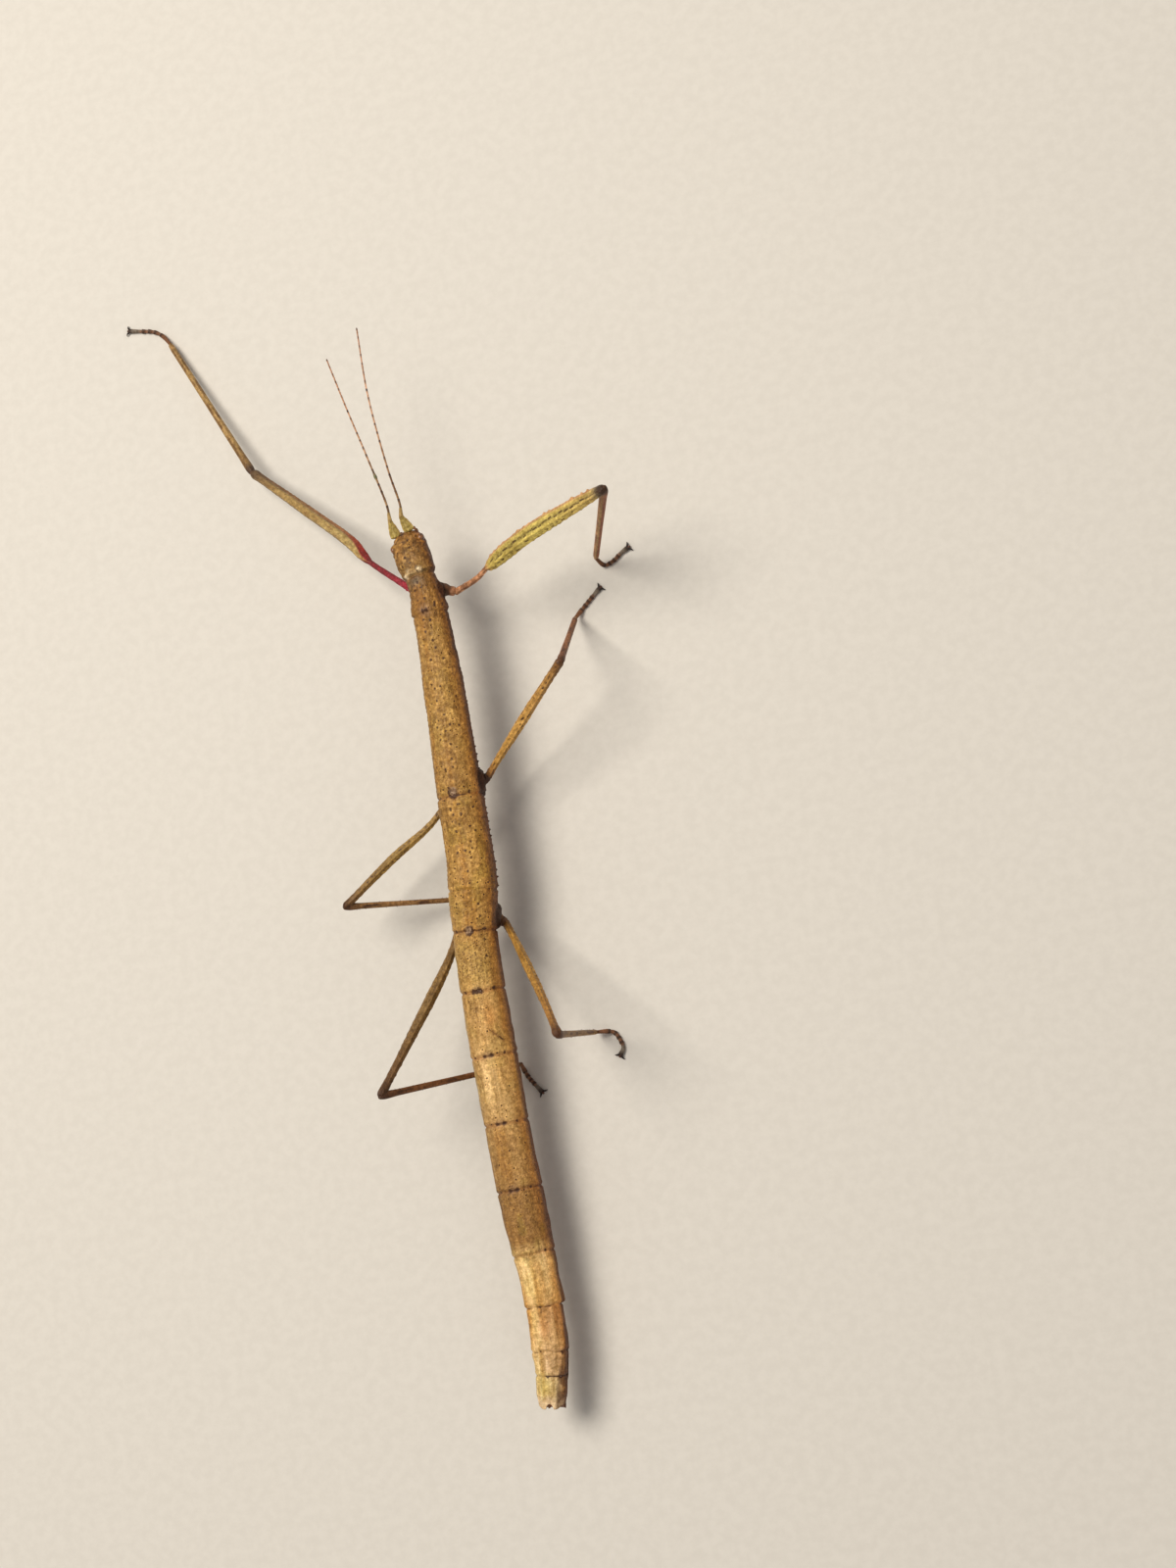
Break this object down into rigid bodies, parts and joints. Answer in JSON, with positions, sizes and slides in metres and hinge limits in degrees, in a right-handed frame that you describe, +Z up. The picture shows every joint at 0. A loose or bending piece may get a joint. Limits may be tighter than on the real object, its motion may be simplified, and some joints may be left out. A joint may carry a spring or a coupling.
{
  "type": "stick insect",
  "caption": "Life-size still model of a slender brown stick insect that stands on its feet, with long legs, thin feelers held forward and a notched tail.",
  "frame": {"origin": "on the floor, under the middle of the whole insect's box, feelers and feet included", "axes": "+Z up from the floor; the head and feelers point to -Y, so +Y runs to the tail; +X is the insect's own left side"},
  "size_m": [0.0582, 0.1272, 0.0186],
  "materials": {
    "cuticle_tan": "satin, finely granular tan and brown bark-like cuticle with dark pores",
    "cuticle_olive": "satin, yellow-green blade with pale ridges and rows of dark dots",
    "cuticle_crimson": "satin, crimson inner face fading to tan",
    "leg_brown": "satin brown with pale ridges",
    "feeler_brown": "satin, pale and dark bands",
    "foot_dark": "satin dark brown with paler joints",
    "eye_brown": "glossy, finely faceted, mottled tan and dark",
    "mouth_brown": "satin brown"
  },
  "bodies": {
    "root": {"abdomen_10": "cuticle_tan", "abdomen_2": "cuticle_tan", "abdomen_3": "cuticle_tan", "abdomen_4": "cuticle_tan", "abdomen_5": "cuticle_tan", "abdomen_6": "cuticle_tan", "abdomen_7": "cuticle_tan", "abdomen_8": "cuticle_tan", "abdomen_9": "cuticle_tan", "antenna_left": "feeler_brown", "antenna_right": "feeler_brown", "cercus_left": "cuticle_tan", "cercus_right": "cuticle_tan", "coxa_fore_left": "leg_brown", "coxa_fore_right": "leg_brown", "coxa_hind_left": "leg_brown", "coxa_hind_right": "leg_brown", "coxa_mid_left": "leg_brown", "coxa_mid_right": "leg_brown", "egg_scoop": "cuticle_tan", "eye_left": "eye_brown", "eye_right": "eye_brown", "femur_fore_left": "cuticle_crimson", "femur_fore_right": "cuticle_olive", "femur_hind_left": "leg_brown", "femur_hind_right": "leg_brown", "femur_mid_left": "leg_brown", "femur_mid_right": "leg_brown", "head": "cuticle_tan", "median_segment": "cuticle_tan", "mesothorax": "cuticle_tan", "metathorax": "cuticle_tan", "mouthparts": "mouth_brown", "prothorax": "cuticle_tan", "scape_left": "cuticle_olive", "scape_right": "cuticle_olive", "tarsus_fore_left": "foot_dark", "tarsus_fore_right": "foot_dark", "tarsus_hind_left": "foot_dark", "tarsus_hind_right": "foot_dark", "tarsus_mid_left": "foot_dark", "tarsus_mid_right": "foot_dark", "tibia_fore_left": "leg_brown", "tibia_fore_right": "leg_brown", "tibia_hind_left": "leg_brown", "tibia_hind_right": "leg_brown", "tibia_mid_left": "leg_brown", "tibia_mid_right": "leg_brown"}
  },
  "joints": []
}
